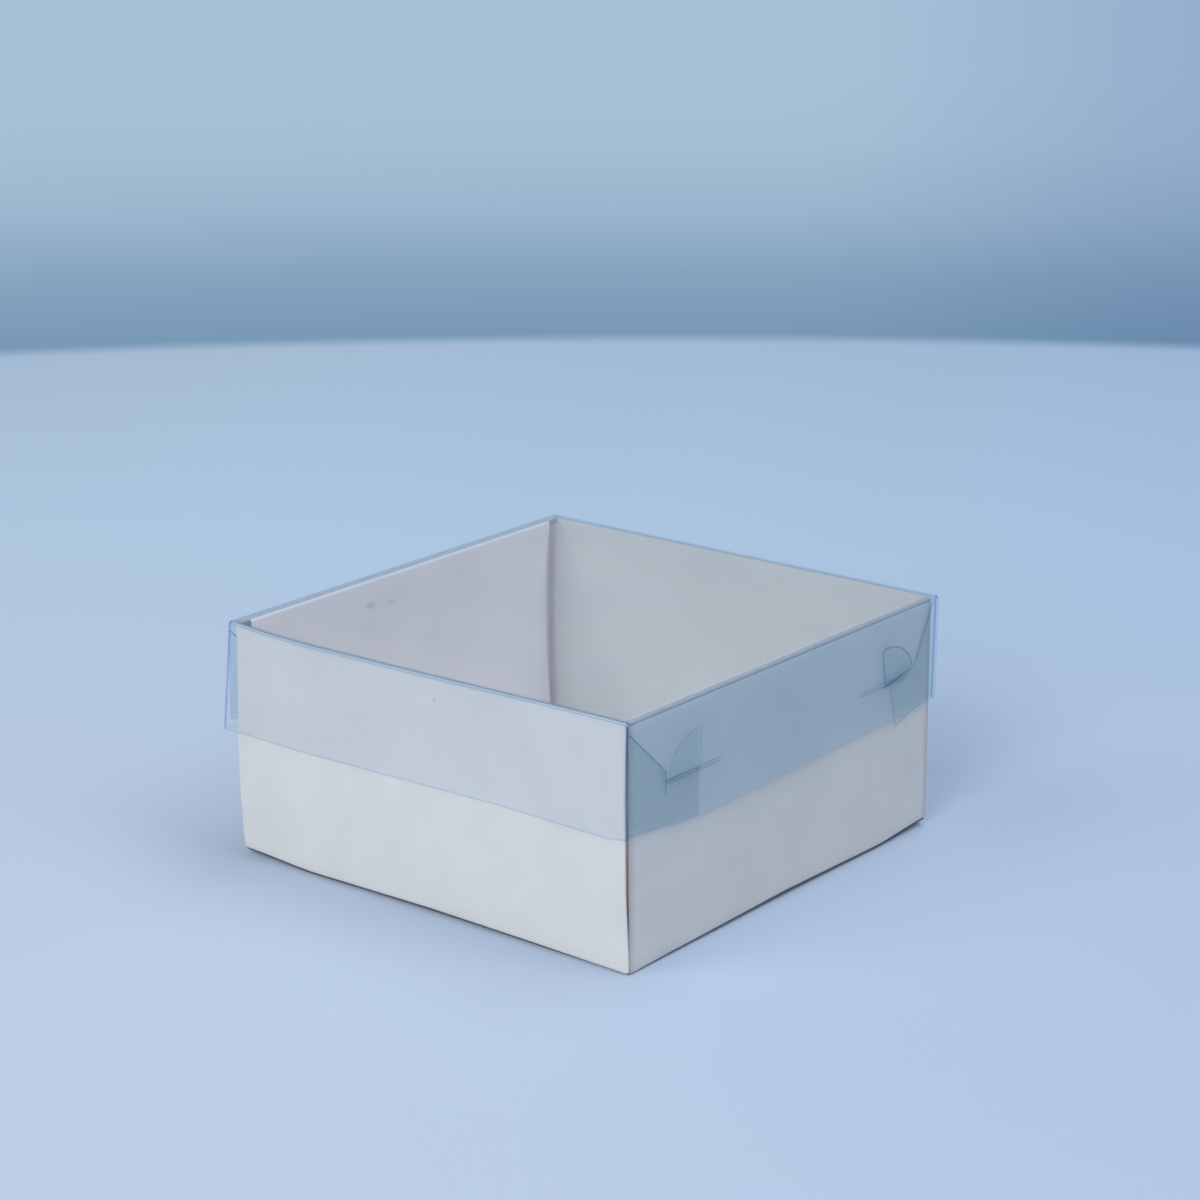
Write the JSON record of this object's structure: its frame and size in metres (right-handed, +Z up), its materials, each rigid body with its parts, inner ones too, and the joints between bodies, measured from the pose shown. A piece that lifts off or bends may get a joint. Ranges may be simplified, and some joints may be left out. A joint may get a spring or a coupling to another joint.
{
  "type": "favour box",
  "caption": "Square favour box: a folded white board tray under a lift-off clear film lid, whose corner flaps lock with tongues through slits.",
  "frame": {"origin": "middle of the tray's underside, on the surface that the box stands on", "axes": "+Z up through the lid, +X towards the right double wall, -Y towards the front single wall"},
  "size_m": [0.082, 0.0816, 0.0397],
  "materials": {
    "tray_board": "matte",
    "lid_film": "gloss"
  },
  "bodies": {
    "tray": {"tray_floor": "tray_board", "tray_front_wall": "tray_board", "tray_back_wall": "tray_board", "tray_right_outer_wall": "tray_board", "tray_left_outer_wall": "tray_board", "right_folded_rim": "tray_board", "left_folded_rim": "tray_board", "corner_web_front_right": "tray_board", "corner_web_front_left": "tray_board", "corner_web_back_right": "tray_board", "corner_web_back_left": "tray_board"},
    "right_inner_wall": {"tray_right_inner_wall": "tray_board"},
    "left_inner_wall": {"tray_left_inner_wall": "tray_board"},
    "lid": {"lid_top": "lid_film", "lid_front_wall": "lid_film", "lid_back_wall": "lid_film", "lid_right_wall": "lid_film", "lid_left_wall": "lid_film", "lid_flap_front_right": "lid_film", "lid_flap_front_left": "lid_film", "lid_flap_back_right": "lid_film", "lid_flap_back_left": "lid_film"},
    "lock_tongue_front_right": {"lock_tongue_front_right": "lid_film"},
    "lock_tongue_front_left": {"lock_tongue_front_left": "lid_film"},
    "lock_tongue_back_right": {"lock_tongue_back_right": "lid_film"},
    "lock_tongue_back_left": {"lock_tongue_back_left": "lid_film"}
  },
  "joints": [
    {"name": "lid_lift", "type": "slide", "parent": "tray", "child": "lid", "axis": [0, 0, 1], "range_m": [0, 0.06]},
    {"name": "right_wall_fold", "type": "hinge", "parent": "tray", "child": "right_inner_wall", "pos_m": [0.03862, 0, 0.0395], "axis": [0, -1, 0], "range_deg": [-80, 0]},
    {"name": "left_wall_fold", "type": "hinge", "parent": "tray", "child": "left_inner_wall", "pos_m": [-0.03862, 0, 0.0395], "axis": [0, 1, 0], "range_deg": [-80, 0]},
    {"name": "lock_tongue_front_right_bend", "type": "hinge", "parent": "lid", "child": "lock_tongue_front_right", "pos_m": [0.04105, -0.02745, 0.02848], "axis": [0, 1, 0], "range_deg": [0, 40], "stiffness_Nm_per_rad": 0.00002},
    {"name": "lock_tongue_front_left_bend", "type": "hinge", "parent": "lid", "child": "lock_tongue_front_left", "pos_m": [-0.04105, -0.02745, 0.02848], "axis": [0, -1, 0], "range_deg": [0, 40], "stiffness_Nm_per_rad": 0.00002},
    {"name": "lock_tongue_back_right_bend", "type": "hinge", "parent": "lid", "child": "lock_tongue_back_right", "pos_m": [0.04105, 0.02745, 0.02848], "axis": [0, 1, 0], "range_deg": [0, 40], "stiffness_Nm_per_rad": 0.00002},
    {"name": "lock_tongue_back_left_bend", "type": "hinge", "parent": "lid", "child": "lock_tongue_back_left", "pos_m": [-0.04105, 0.02745, 0.02848], "axis": [0, -1, 0], "range_deg": [0, 40], "stiffness_Nm_per_rad": 0.00002}
  ]
}
